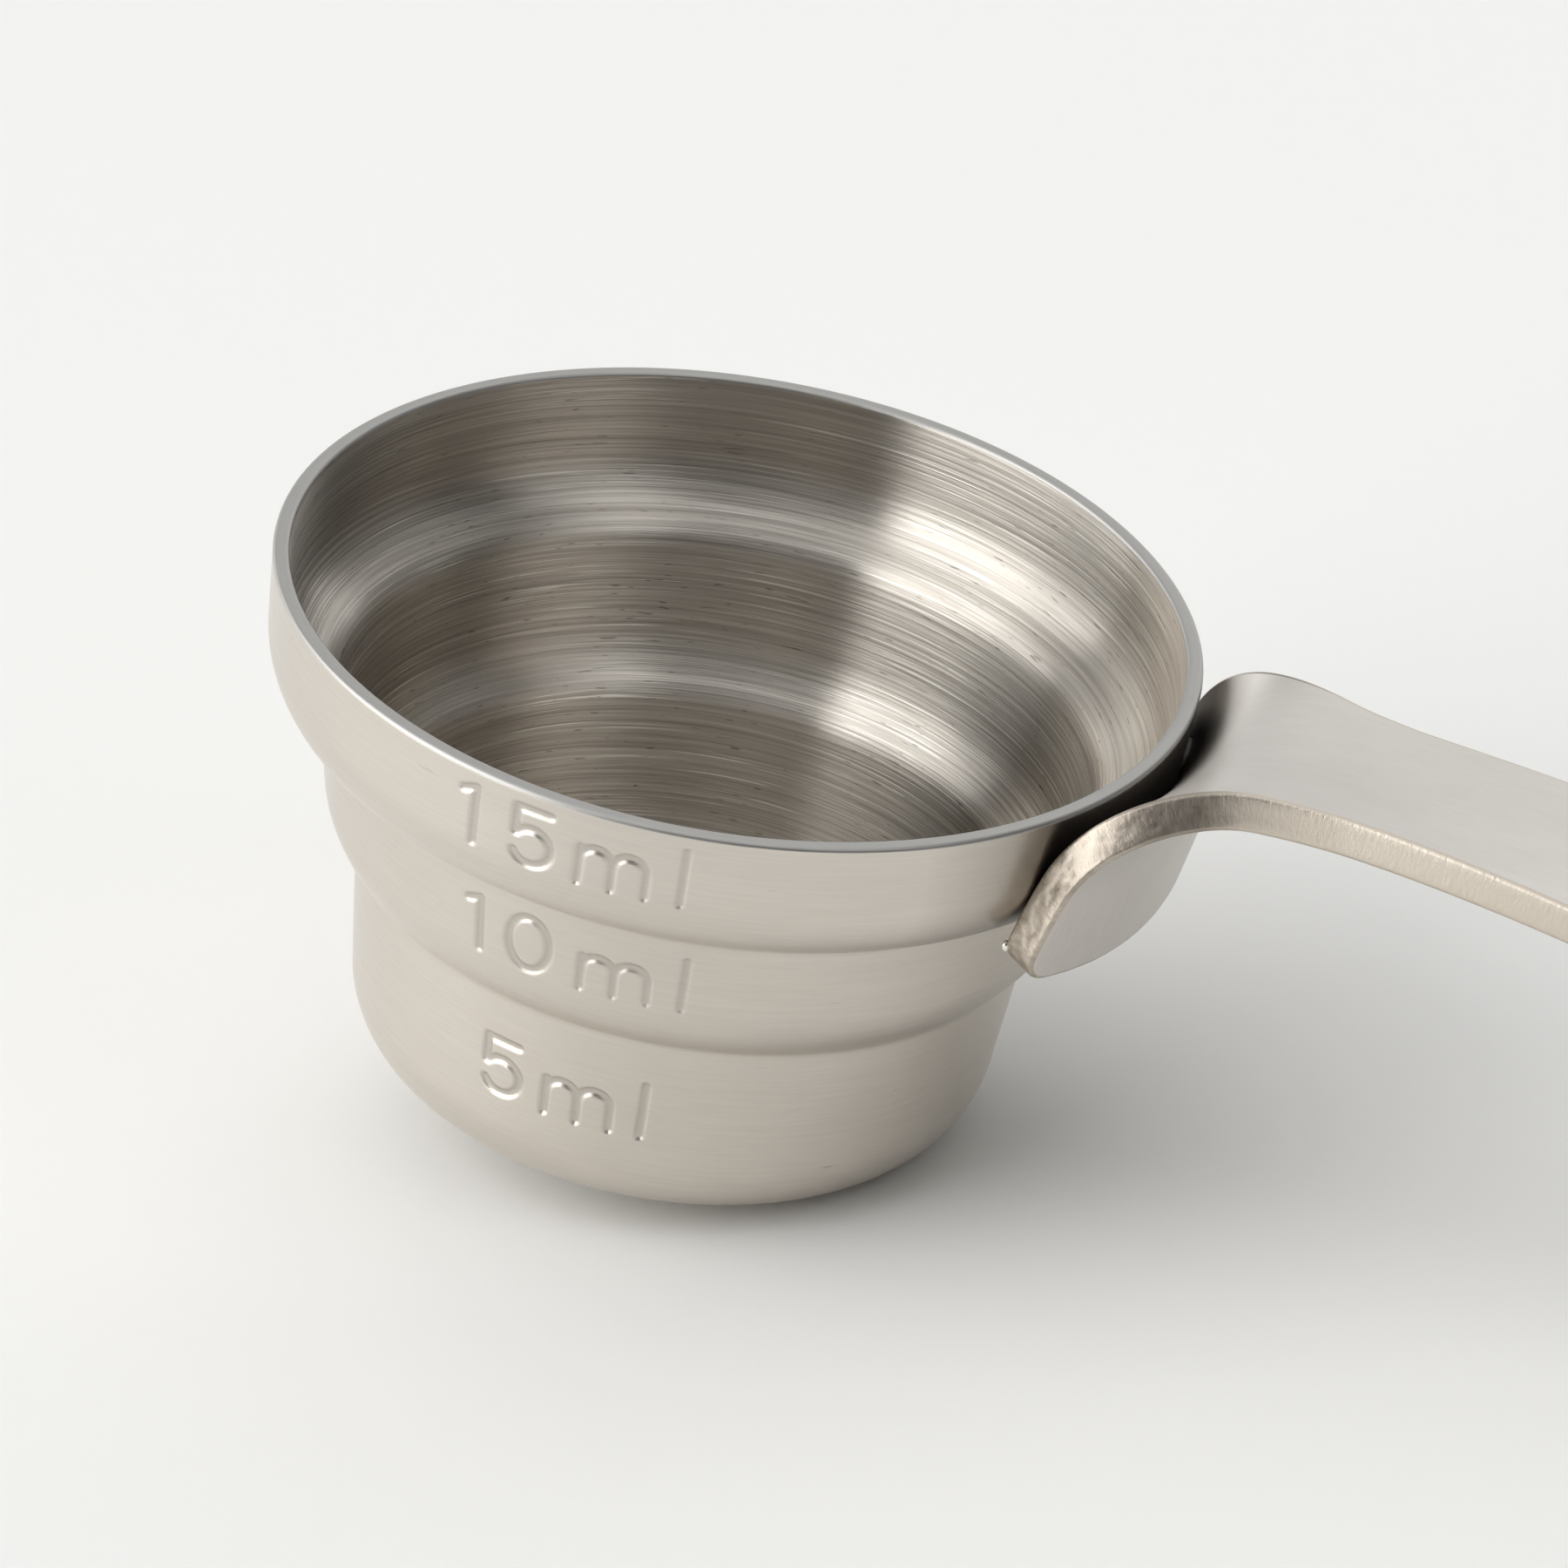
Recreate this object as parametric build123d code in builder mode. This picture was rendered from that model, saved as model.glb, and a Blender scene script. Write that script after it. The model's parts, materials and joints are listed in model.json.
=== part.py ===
"""Stepped measuring spoon: a pressed cup in three tiers with a formed strap handle welded to it.

Millimetres and degrees. The part stands as it rests on a table, Z = 0, with its handle along +X.
The heavy handle tips the cup back, so the spoon rests on the rounded corner of its base and on the
end of its handle. Cup and handle are drawn side on in the cup's own leaning frame: X is the radius
from the cup's axis, towards the handle, and Y is the height above the cup's flat base.
"""
import os
from math import asin, atan2, cos, degrees, exp, hypot, radians, sin, sqrt, tan

from build123d import *

# Cup, measured outside: each tier's height, how far its crease lies inside the wall above, and its wall
rim_radius = 19.3
wall = 0.7
upper_tier_height = 6.45
upper_step_inset = 2.79
upper_wall_angle = 4.2
upper_round_radius = 3.51
middle_tier_height = 6.52
lower_step_inset = 2.31
middle_wall_angle = 9.7
middle_round_radius = 4.4
base_tier_height = 9.58
lower_wall_angle = 6.1
base_corner_radius = 3.9
crease_radius = 0.65

# Strap handle: runs are lengths along its upper face from where the tab ends and the bend begins
strap_thickness = 1.6
tab_angle = 11.3
tab_rise = 0.63
tab_drop = 3.85
tab_half_width = 9.05
tab_end_bow = 0.45
tab_corner_radius = 1.3
bend_radius = 6.2
strap_rise_angle = 4.0
arch_radius = 115.0
arch_turn_angle = 16.1
straight_run = 35.3
neck_run = 11.6
neck_half_width = 4.2
flare_middle_run = 4.3
flare_softness = 2.1
roll_fade_run = 30.0
end_half_width = 6.9
end_corner_radius = 6.4
hanging_hole_radius = 2.5
hanging_hole_inset = 6.4

# Number of evenly spaced sections from the tab to the end of the arch
section_count = 31

# Spot welds between the tab and the cup
weld_gap = 0.05
weld_radius = 1.2
weld_angles = (-17, 0, 17)

# Reach of cutting bodies past what they cut
overrun = 1.0

os.makedirs("parts", exist_ok=True)


def round_center(wall_top, wall_angle, radius, crease):
    """Centre of a tier's rounding, which leaves the wall below wall_top tangent and ends at the crease."""
    down = Vector(-sin(radians(wall_angle)), -cos(radians(wall_angle)))
    inward = Vector(-cos(radians(wall_angle)), sin(radians(wall_angle)))
    start = Vector(*wall_top) + inward * radius - Vector(*crease)
    along = -start.dot(down) - sqrt(start.dot(down) ** 2 - start.dot(start) + radius**2)
    return Vector(*wall_top) + inward * radius + down * along


def draw_tier(wall_top, wall_angle, radius, crease):
    """Rounding and wall of one tier, from the crease below it to the top of its wall."""
    center = round_center(wall_top, wall_angle, radius, crease)
    start_angle = degrees(atan2(crease[1] - center.Y, crease[0] - center.X))
    rounding = CenterArc(center, radius, start_angle, -wall_angle - start_angle)
    Line(rounding @ 1, wall_top)


# Corners of the cup's outer line, and centres of its roundings
lower_crease = (rim_radius - upper_step_inset - lower_step_inset, base_tier_height)
upper_crease = (rim_radius - upper_step_inset, base_tier_height + middle_tier_height)
rim_point = (rim_radius, base_tier_height + middle_tier_height + upper_tier_height)
upper_center = round_center(rim_point, upper_wall_angle, upper_round_radius, upper_crease)
base_center = Vector(
    lower_crease[0]
    - (base_tier_height - base_corner_radius) * tan(radians(lower_wall_angle))
    - base_corner_radius / cos(radians(lower_wall_angle)),
    base_corner_radius,
)

# The strap's upper face, side on: up the tab, over the bend, down the arch and straight to its end
seat_radius = upper_center.X + upper_round_radius * cos(radians(tab_angle))
tab_up = Vector(sin(radians(tab_angle)), cos(radians(tab_angle)))
tab_out = Vector(cos(radians(tab_angle)), -sin(radians(tab_angle)))
seat_point = upper_center + tab_out * (upper_round_radius + weld_gap)
bend_turn = 90 - tab_angle - strap_rise_angle
with BuildLine() as face_line:
    tab_line = Line(seat_point - tab_up * tab_drop, seat_point + tab_up * tab_rise)
    bend_arc = JernArc(tab_line @ 1, tab_line % 1, bend_radius, -bend_turn)
    arch_arc = JernArc(bend_arc @ 1, bend_arc % 1, arch_radius, -arch_turn_angle)
    straight_line = Line(arch_arc @ 1, (arch_arc @ 1) + (arch_arc % 1) * straight_run)
tab_length = tab_line.length
bend_length = bend_arc.length
strap_length = bend_length + arch_arc.length + straight_run
tip = straight_line @ 1
tip_direction = straight_line % 1
tip_up = Vector(-tip_direction.Y, tip_direction.X)

# The lean: the table touches the base's corner rounding and the lower edge of the strap's end
table_point = tip - tip_up * strap_thickness - base_center
table_reach = hypot(table_point.X, table_point.Y)
lean = degrees(atan2(table_point.Y, table_point.X) + asin(base_corner_radius / table_reach))

# The leaning frame stands on the table, and the part's box is centred over the origin. The cup's back
# is furthest out on its upper rounding, because the cup leans more than its upper wall is drafted
leaning_x = Vector(cos(radians(lean)), 0, -sin(radians(lean)))
leaning_z = Vector(sin(radians(lean)), 0, cos(radians(lean)))
back_end = upper_center.Y * leaning_z.X - upper_center.X * leaning_x.X - upper_round_radius
front_end = tip.X * leaning_x.X + tip.Y * leaning_z.X
cup_plane = Plane(
    origin=(
        -(back_end + front_end) / 2,
        0,
        base_corner_radius - base_center.X * leaning_x.Z - base_center.Y * leaning_z.Z,
    ),
    x_dir=leaning_x,
    z_dir=leaning_z,
)
side_plane = Plane(origin=cup_plane.origin, x_dir=leaning_x, z_dir=(0, -1, 0))

# Cup: one sheet of even wall, offset inwards from its outer line and turned about its axis
with BuildPart() as cup:
    with BuildSketch(side_plane):
        with BuildLine() as cup_line:
            Line((0, 0), (base_center.X, 0))
            base_corner = CenterArc(base_center, base_corner_radius, 270, 90 - lower_wall_angle)
            Line(base_corner @ 1, lower_crease)
            draw_tier(upper_crease, middle_wall_angle, middle_round_radius, lower_crease)
            draw_tier(rim_point, upper_wall_angle, upper_round_radius, upper_crease)
            corners = cup_line.vertices()
            creases = [corners.sort_by_distance(crease)[0] for crease in (lower_crease, upper_crease)]
            fillet(creases, crease_radius)
            offset(amount=wall, side=Side.LEFT, closed=True)
        make_face()
    revolve(axis=Axis(cup_plane.origin, cup_plane.z_dir))
cup.part.label = "cup"

# Roll of the tab, which lies on the cup all along the seat
roll_radius = seat_radius / cos(radians(tab_angle)) + weld_gap


def half_width(run):
    """Half of the handle's width, measured round the roll: tab, flare, neck, then slowly opening sides."""
    flare_share = 1 / (1 + exp((run - flare_middle_run) / flare_softness))
    end_share = max(0, (run - neck_run) / (strap_length - neck_run))
    tab_gain = (tab_half_width - neck_half_width) * flare_share
    return neck_half_width + tab_gain + (end_half_width - neck_half_width) * end_share


def roll_fade(run):
    """Share of the tab's roll that is left: all of it on the tab, none from roll_fade_run on."""
    left = min(1, max(0, 1 - run / roll_fade_run))
    return left * left * (3 - 2 * left)


def face_place(run):
    """Point and direction of the upper face at a run, side on."""
    if run <= 0:
        line, distance = tab_line, tab_length + run
    elif run <= bend_length:
        line, distance = bend_arc, run
    elif run <= bend_length + arch_arc.length:
        line, distance = arch_arc, run - bend_length
    else:
        line, distance = straight_line, run - bend_length - arch_arc.length
    return line @ (distance / line.length), line % (distance / line.length)


def section_plane(run):
    """Plane across the strap on its upper face: X across, Y out of the face, Z along the strap."""
    point, direction = face_place(run)
    along = leaning_x * direction.X + leaning_z * direction.Y
    return Plane(origin=side_plane.from_local_coords(point), x_dir=(0, 1, 0), z_dir=along)


def face_plane(run):
    """Plane of the strap's upper face: X across, Y along the strap, Z out of the face."""
    section = section_plane(run)
    return Plane(origin=section.origin, x_dir=(0, -1, 0), z_dir=section.y_dir)


def draw_section(run):
    """Band of even thickness below the upper face, as a rolled strip or, past the roll, a flat one."""
    half = half_width(run)
    fade = roll_fade(run)
    if fade > 0:
        radius = roll_radius / fade
        spread = degrees(half / radius)
        with BuildLine() as band:
            upper = CenterArc((0, radius), radius, 270 - spread, 2 * spread)
            lower = CenterArc((0, radius), radius + strap_thickness, 270 - spread, 2 * spread)
            Line(upper @ 0, lower @ 0)
            Line(upper @ 1, lower @ 1)
        make_face(band.edges())
    else:
        Rectangle(2 * half, strap_thickness, align=(Align.CENTER, Align.MAX))


tab_cut_run = -tab_length - overrun
arch_end_run = strap_length - straight_run
section_step = (arch_end_run - tab_cut_run) / (section_count - 1)

# Handle: lofted through sections whose roll fades out along the bend and the arch, then straight
with BuildPart() as handle:
    for index in range(section_count):
        with BuildSketch(section_plane(tab_cut_run + index * section_step)):
            draw_section(tab_cut_run + index * section_step)
    loft()
    for run in (arch_end_run, strap_length):
        with BuildSketch(section_plane(run)):
            draw_section(run)
    loft(ruled=True)
    # The tab's lower end is cut to a shallow bow, and both ends get their round corners
    bow_radius = (tab_half_width**2 + tab_end_bow**2) / (2 * tab_end_bow)
    with BuildSketch(face_plane(-tab_length)):
        Rectangle(2 * (tab_half_width + strap_thickness), 4 * overrun)
        with Locations((0, bow_radius)):
            Circle(bow_radius, mode=Mode.SUBTRACT)
    extrude(amount=tab_half_width, both=True, mode=Mode.SUBTRACT)
    tab_end = handle.faces().sort_by_distance(face_plane(-tab_length).origin)[0]
    fillet(tab_end.edges().sort_by(SortBy.LENGTH)[:2], tab_corner_radius)
    strap_end = handle.faces().sort_by(Axis.X)[-1]
    fillet(strap_end.edges().sort_by(SortBy.LENGTH)[:2], end_corner_radius)
    with BuildSketch(face_plane(strap_length - hanging_hole_inset)):
        Circle(hanging_hole_radius)
    extrude(amount=strap_thickness + overrun, both=True, mode=Mode.SUBTRACT)
handle.part.label = "handle"

# Spot welds: short pads that fill the gap between the cup and the tab along the seat
with BuildPart() as spot_welds:
    for angle in weld_angles:
        turned = Plane(
            origin=cup_plane.origin,
            x_dir=leaning_x * cos(radians(angle)) + Vector(0, sin(radians(angle)), 0),
            z_dir=leaning_z,
        )
        outward = turned.x_dir * tab_out.X + turned.z_dir * tab_out.Y
        start = upper_center + tab_out * (upper_round_radius - wall / 2)
        with BuildSketch(Plane(origin=turned.from_local_coords((start.X, 0, start.Y)), z_dir=outward)):
            Circle(weld_radius)
        extrude(amount=wall / 2 + weld_gap + strap_thickness / 2)
    add(cup.part, mode=Mode.SUBTRACT)
    add(handle.part, mode=Mode.SUBTRACT)
spot_welds.part.label = "spot_welds"

export_step(cup.part, "parts/cup.step")
export_step(handle.part, "parts/handle.step")
export_step(spot_welds.part, "parts/spot_welds.step")
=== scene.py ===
"""Dresses the stepped measuring spoon: a spun and brushed stainless cup with its stamped measures, and a
satin strap handle with ground edges. Metres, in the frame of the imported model."""

import json
from math import radians

import bpy
import numpy as np
from mathutils import Matrix, Vector


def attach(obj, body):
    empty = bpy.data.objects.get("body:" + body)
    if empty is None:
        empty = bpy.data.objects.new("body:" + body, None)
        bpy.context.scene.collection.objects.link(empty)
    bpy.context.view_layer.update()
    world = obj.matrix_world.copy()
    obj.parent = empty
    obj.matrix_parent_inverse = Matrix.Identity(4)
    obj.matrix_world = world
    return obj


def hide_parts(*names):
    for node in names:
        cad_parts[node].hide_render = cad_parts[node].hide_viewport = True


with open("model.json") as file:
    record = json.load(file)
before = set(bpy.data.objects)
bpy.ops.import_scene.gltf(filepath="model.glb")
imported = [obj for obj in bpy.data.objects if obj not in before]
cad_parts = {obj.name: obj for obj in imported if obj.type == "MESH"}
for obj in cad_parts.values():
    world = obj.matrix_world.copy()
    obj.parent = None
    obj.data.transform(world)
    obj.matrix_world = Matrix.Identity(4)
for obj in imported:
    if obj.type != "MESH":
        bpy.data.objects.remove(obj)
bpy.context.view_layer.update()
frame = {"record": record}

bl_info = {
    "name": "Stepped measuring spoon",
    "version": (1, 0, 0),
    "blender": (4, 5, 0),
    "location": "3D View > Sidebar > Spoon",
    "description": "Makes the stamped cup, the strap handle and the studio of a stepped measuring spoon",
    "category": "Add Mesh",
}

MM = 0.001

# The cup leans on the table: its base mount gives the centre of its flat base and the way its axis points
MOUNTS = {mount["name"]: mount for mount in frame["record"]["mounts"]}
CUP_BASE = np.array(MOUNTS["base"]["pos_m"])
CUP_UP = -np.array(MOUNTS["base"]["axis"]) / np.linalg.norm(MOUNTS["base"]["axis"])
CUP_FRONT = np.array([CUP_UP[2], 0.0, -CUP_UP[0]])
CUP_SIDE = np.array([0.0, -1.0, 0.0])
HOLE_RADIUS = MOUNTS["hanging_hole"]["dims"]["r_mm"] * MM


def distance(name, description, metres):
    """A length that a user can change."""
    return bpy.props.FloatProperty(name=name, description=description, default=metres, subtype="DISTANCE")


def angle(name, description, degrees):
    """An angle that a user can change, given in degrees."""
    return bpy.props.FloatProperty(name=name, description=description, default=radians(degrees), subtype="ANGLE")


def colour(name, description, hex_code):
    """A colour that a user can change."""
    return bpy.props.StringProperty(name=name, description=f"{description}, sRGB hex", default=hex_code)


class SpoonCupSizes(bpy.types.PropertyGroup):
    """Sizes of the pressed cup, outside, from its rim down."""

    rim_radius: distance("Rim radius", "Radius at the top of the rim", 0.0193)
    wall: distance("Wall", "Thickness of the sheet", 0.0007)
    upper_height: distance("Upper tier", "Height from the upper crease to the rim", 0.00645)
    upper_inset: distance("Upper step", "How far the upper crease lies inside the rim", 0.00279)
    upper_angle: angle("Upper wall", "Lean of the upper tier's wall", 4.2)
    upper_round: distance("Upper rounding", "Radius under the upper tier's wall", 0.00351)
    middle_height: distance("Middle tier", "Height between the creases", 0.00652)
    middle_inset: distance("Lower step", "How far the lower crease lies inside the upper", 0.00231)
    middle_angle: angle("Middle wall", "Lean of the middle tier's wall", 9.7)
    middle_round: distance("Middle rounding", "Radius under the middle tier's wall", 0.0044)
    base_height: distance("Base tier", "Height from the base to the lower crease", 0.00958)
    base_angle: angle("Base wall", "Lean of the base tier's wall", 6.1)
    base_round: distance("Base corner", "Radius of the corner round the flat base", 0.0039)
    crease: distance("Crease", "Radius in each crease between tiers", 0.00065)
    rim_edge: distance("Rim edge", "Radius of the deburred edges of the rim", 0.0002)
    stamp_depth: distance("Stamp depth", "Depth of the stamped measures", 0.0001)
    stamp_width: distance("Stamp stroke", "Width of a stamped stroke", 0.00037)


class SpoonStrapSizes(bpy.types.PropertyGroup):
    """Sizes of the strap handle; runs are lengths along its upper face from the end of the tab."""

    thickness: distance("Thickness", "Thickness of the strap", 0.0016)
    tab_angle: angle("Tab lean", "Lean of the tab from the cup's axis", 11.3)
    tab_rise: distance("Tab rise", "Length of the tab above its seat", 0.00063)
    tab_drop: distance("Tab drop", "Length of the tab below its seat", 0.00385)
    tab_half: distance("Tab half width", "Half of the tab's width round the cup", 0.00905)
    tab_bow: distance("Tab bow", "How far the tab's end bows down", 0.00045)
    tab_corner: distance("Tab corner", "Corner radius of the tab", 0.0013)
    bend_radius: distance("Bend radius", "Radius of the bend over the cup, on the upper face", 0.0062)
    strap_rise: angle("Strap rise", "Slope at which the strap leaves the bend", 4.0)
    arch_radius: distance("Arch radius", "Radius of the long arch", 0.115)
    arch_turn: angle("Arch turn", "Angle that the arch turns through", 16.1)
    straight_run: distance("Straight run", "Length of the straight end", 0.0353)
    neck_run: distance("Neck run", "Where the strap is narrowest", 0.0116)
    neck_half: distance("Neck half width", "Half of the narrowest width", 0.0042)
    flare_run: distance("Flare run", "Middle of the flare from the tab to the neck", 0.0043)
    flare_softness: distance("Flare softness", "Length scale of the flare", 0.0021)
    roll_fade: distance("Roll fade", "Run at which the tab's roll has faded out", 0.03)
    end_half: distance("End half width", "Half of the width at the end", 0.0069)
    end_corner: distance("End corner", "Corner radius of the end", 0.0064)
    hole_inset: distance("Hole inset", "Hanging hole's centre from the end", 0.0064)
    weld_gap: distance("Weld gap", "Gap between tab and cup, bridged by the spot welds", 0.00005)
    edge: distance("Edge rounding", "Radius of the tumbled edges", 0.0002)
    bead_size: distance("Bead size", "Width of the weld bead beside the tab", 0.00036)
    bead_height: distance("Bead height", "Height of the weld bead above the tab's end", 0.0011)


class SpoonFinish(bpy.types.PropertyGroup):
    """Colours of the finishes and of the studio."""

    steel: colour("Steel", "Brushed stainless steel", "DAD4CB")
    inside: colour("Inside", "Spun stainless steel", "D9D3CA")
    ground: colour("Ground edge", "Ground edge of the strap", "CDC4B7")
    floor: colour("Floor", "Pale studio sweep", "EDEDEB")


def linear(hex_code):
    """Linear RGBA of an sRGB hex colour."""
    srgb = np.array([int(hex_code[i : i + 2], 16) for i in (0, 2, 4)]) / 255
    value = np.where(srgb <= 0.04045, srgb / 12.92, ((srgb + 0.055) / 1.055) ** 2.4)
    return (*value.tolist(), 1.0)


def add_node(tree, kind, settings=None, links=None):
    """Adds a node; settings are its properties and input values, links its inputs' source sockets."""
    new = tree.nodes.new(f"ShaderNode{kind}")
    for key, value in (settings or {}).items():
        if isinstance(key, str) and hasattr(new, key):
            setattr(new, key, value)
        else:
            new.inputs[key].default_value = value
    for key, socket in (links or {}).items():
        tree.links.new(socket, new.inputs[key])
    return new


def new_material(name, rows):
    """A node material from rows of a node's label, kind, settings and links; the last row is its shader.

    A link comes from the first output of an earlier row, given by its label, or from another output of it, given
    by its label and that output.
    """
    material = bpy.data.materials.new(name)
    material.use_nodes = True
    tree = material.node_tree
    tree.nodes.clear()
    made = {}
    for label, kind, settings, links in rows:
        sockets = {}
        for key, source in links.items():
            from_label, output = (source, 0) if isinstance(source, str) else source
            sockets[key] = made[from_label].outputs[output]
        made[label] = add_node(tree, kind, settings, sockets)
        made[label].label = label
    add_node(tree, "OutputMaterial", {}, {"Surface": made[label].outputs[0]})
    return material


def make_object(name, verts, faces, materials, face_slots=None, smooth=True):
    """A mesh object at the origin from vertex and face arrays, with a material slot number for each face."""
    mesh = bpy.data.meshes.new(name)
    mesh.from_pydata(verts.tolist(), [], faces)
    for material in materials:
        mesh.materials.append(material)
    if face_slots is not None:
        mesh.polygons.foreach_set("material_index", np.asarray(face_slots, np.int32))
    mesh.polygons.foreach_set("use_smooth", np.full(len(mesh.polygons), smooth))
    mesh.update()
    made = bpy.data.objects.new(name, mesh)
    bpy.context.scene.collection.objects.link(made)
    return made


def add_values(made, name, values):
    """A vector or a number for each vertex of an object, under an attribute's name."""
    kind, field = ("FLOAT_VECTOR", "vector") if values.ndim == 2 else ("FLOAT", "value")
    attribute = made.data.attributes.new(name, kind, "POINT")
    attribute.data.foreach_set(field, values.astype(np.float32).ravel())


def add_map(made, name, values):
    """A UV map with a pair for each corner of an object's faces."""
    layer = made.data.uv_layers.new(name=name)
    layer.uv.foreach_set("vector", values.astype(np.float32).ravel())


# ---- cup


def round_centre(top, angle, radius, crease):
    """Centre of a tier's rounding: on the wall's inner parallel, radius away from the wall and from the crease."""
    down = np.array([-np.sin(angle), -np.cos(angle)])
    inward = np.array([-np.cos(angle), np.sin(angle)])
    start = top + inward * radius - crease
    along = -start @ down - np.sqrt((start @ down) ** 2 - start @ start + radius**2)
    return top + inward * radius + down * along


def crease_centre(point, angle, centre, round_radius, crease_radius):
    """Centre of a crease's fillet: one fillet radius outside the wall below, and outside the rounding above."""
    outward = np.array([np.cos(angle), -np.sin(angle)])
    upward = np.array([np.sin(angle), np.cos(angle)])
    start = point + outward * crease_radius
    reach = start - centre
    half = reach @ upward
    root = np.sqrt(half**2 - reach @ reach + (round_radius + crease_radius) ** 2)
    along = min(-half - root, -half + root, key=abs)
    return start + upward * along


def cup_outline(s):
    """Outer line of the cup from the middle of its base to its rim, as dense points, outward normals and lengths.

    Straight walls and arcs follow each other tangentially: base, corner, wall, then crease, rounding, wall twice.
    """
    lower = np.array([s.rim_radius - s.upper_inset - s.middle_inset, s.base_height])
    upper = np.array([s.rim_radius - s.upper_inset, s.base_height + s.middle_height])
    rim = np.array([s.rim_radius, s.base_height + s.middle_height + s.upper_height])
    inset = (s.base_height - s.base_round) * np.tan(s.base_angle)
    corner = np.array([lower[0] - inset - s.base_round / np.cos(s.base_angle), s.base_round])
    points, normals = [np.array([[0.0, 0.0]])], [np.array([[0.0, -1.0]])]

    def run_arc(centre, radius, start, end, bulge):
        """Arc from the angle start to end; bulge is 1 where it is convex outside and -1 where it is hollow."""
        turn = np.linspace(start, end, 240)[:, None]
        ray = np.hstack([np.cos(turn), np.sin(turn)])
        points.append(centre + radius * ray)
        normals.append(bulge * ray)

    run_arc(corner, s.base_round, -np.pi / 2, -s.base_angle, 1)
    tiers = (
        (lower, s.base_angle, upper, s.middle_angle, s.middle_round),
        (upper, s.middle_angle, rim, s.upper_angle, s.upper_round),
    )
    for crease, below, top, above, radius in tiers:
        centre = round_centre(top, above, radius, crease)
        hollow = crease_centre(crease, below, centre, radius, s.crease)
        toward = np.arctan2(*(centre - hollow)[::-1])
        run_arc(hollow, s.crease, np.pi - below, toward, -1)
        run_arc(centre, radius, toward - np.pi, -above, 1)
    points.append(rim[None])
    normals.append(normals[-1][-1:])
    points, normals = np.vstack(points), np.vstack(normals)
    keep = np.r_[True, np.hypot(*np.diff(points, axis=0).T) > 1e-9]
    points, normals = points[keep], normals[keep]
    lengths = np.r_[0, np.cumsum(np.hypot(*np.diff(points, axis=0).T))]
    return points, normals, lengths


def arc_points(centre, half_width, half_height, start, end, count=15):
    """Points of an elliptical arc, degrees anticlockwise from the right, in mm of a letter's own square."""
    turn = np.radians(np.linspace(start, end, count))[:, None]
    return np.array(centre) + np.hstack([np.cos(turn) * half_width, np.sin(turn) * half_height])


# Single-line figures of a punch, in mm from the middle of each figure's foot: open strokes, 2.6 high
FIGURES = {
    "1": [np.array([[-0.62, 2.32], [-0.02, 2.58]]), np.array([[0.0, 2.58], [0.0, 0.0]])],
    "0": [arc_points((0, 1.31), 0.93, 1.33, 0, 360, 33)],
    "5": [
        np.array([[0.72, 2.58], [-0.78, 2.58], [-0.8, 1.38]]),
        arc_points((-0.02, 0.84), 0.87, 0.84, 142, -152, 27),
    ],
    "m": [
        np.array([[-1.41, 0.0], [-1.41, 1.66]]),
        np.vstack([[[-1.41, 1.1]], arc_points((-0.71, 1.08), 0.7, 0.66, 180, 0), [[0.0, 0.0]]]),
        np.vstack([[[0.0, 1.08]], arc_points((0.7, 1.06), 0.7, 0.66, 180, 0), [[1.41, 0.0]]]),
    ],
    "l": [np.array([[0.0, 2.56], [0.0, 0.0]])],
}

# Width in mm of the soft shoulder along a stroke
SHOULDER = 0.16

# Each measure: foot of its figures as length along the outline under the rim (mm), share of the stamp's depth,
# and its figures with the azimuth of each from the handle, in degrees
MEASURES = (
    (3.42, 1.0, (("1", 98.9), ("5", 90.9), ("m", 80.5), ("l", 71.9))),
    (11.33, 1.0, (("1", 101.4), ("0", 93.1), ("m", 79.7), ("l", 69.5))),
    (19.5, 1.1, (("5", 98.4), ("m", 84.0), ("l", 72.6))),
)


def stroke_distance(x, y, stroke):
    """Distance of each point to an open line of straight pieces: the least distance to any of the pieces."""
    best = np.full(x.shape, np.inf)
    for a, b in zip(stroke[:-1], stroke[1:]):
        along = b - a
        share = np.clip(((x - a[0]) * along[0] + (y - a[1]) * along[1]) / (along @ along), 0, 1)
        best = np.minimum(best, np.hypot(x - a[0] - share * along[0], y - a[1] - share * along[1]))
    return best


def stamped_depth(azimuth, length, radius, rim_length, s):
    """Depth of the stamp at points of the outside: full inside each stroke, with a soft shoulder at its edge.

    The depth is a smoothstep of the distance to the nearest stroke, from the stroke's flat floor to its shoulder.
    """
    depth = np.zeros(azimuth.shape)
    half = s.stamp_width / MM / 2
    for foot, share, figures in MEASURES:
        y = (length - rim_length) / MM + foot
        for figure, place in figures:
            x = np.radians(place - azimuth) * radius / MM
            for stroke in FIGURES[figure]:
                away = stroke_distance(x, y, stroke)
                left = np.clip((half + SHOULDER / 2 - away) / SHOULDER, 0, 1)
                depth = np.maximum(depth, share * s.stamp_depth * left * left * (3 - 2 * left))
    return depth


def spaced(stops):
    """Places from stop to stop, each stretch with its own spacing: (start, (end, spacing), (end, spacing)...)."""
    places = [np.array([stops[0]])]
    start = stops[0]
    for end, spacing in stops[1:]:
        count = max(1, int(np.ceil((end - start) / spacing)))
        places.append(np.linspace(start, end, count + 1)[1:])
        start = end
    return np.concatenate(places)


# Length of the first row round the middle of the base, then lengths along the outline in mm, each with the
# spacing of the rows before it: close at a measure or a rounding
FIRST_ROW = 0.3
OUTER_ROWS = (
    (9.5, 1.15), (16.2, 0.3), (19.95, 0.085), (21.2, 0.25), (23.6, 0.14), (24.4, 0.22), (28.0, 0.085), (30.4, 0.14),
    (32.3, 0.25),
)
INNER_ROWS = ((9.5, 0.8), (15.4, 0.28), (20.8, 0.6), (24.0, 0.2), (28.0, 0.5), (31.8, 0.2))

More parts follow.
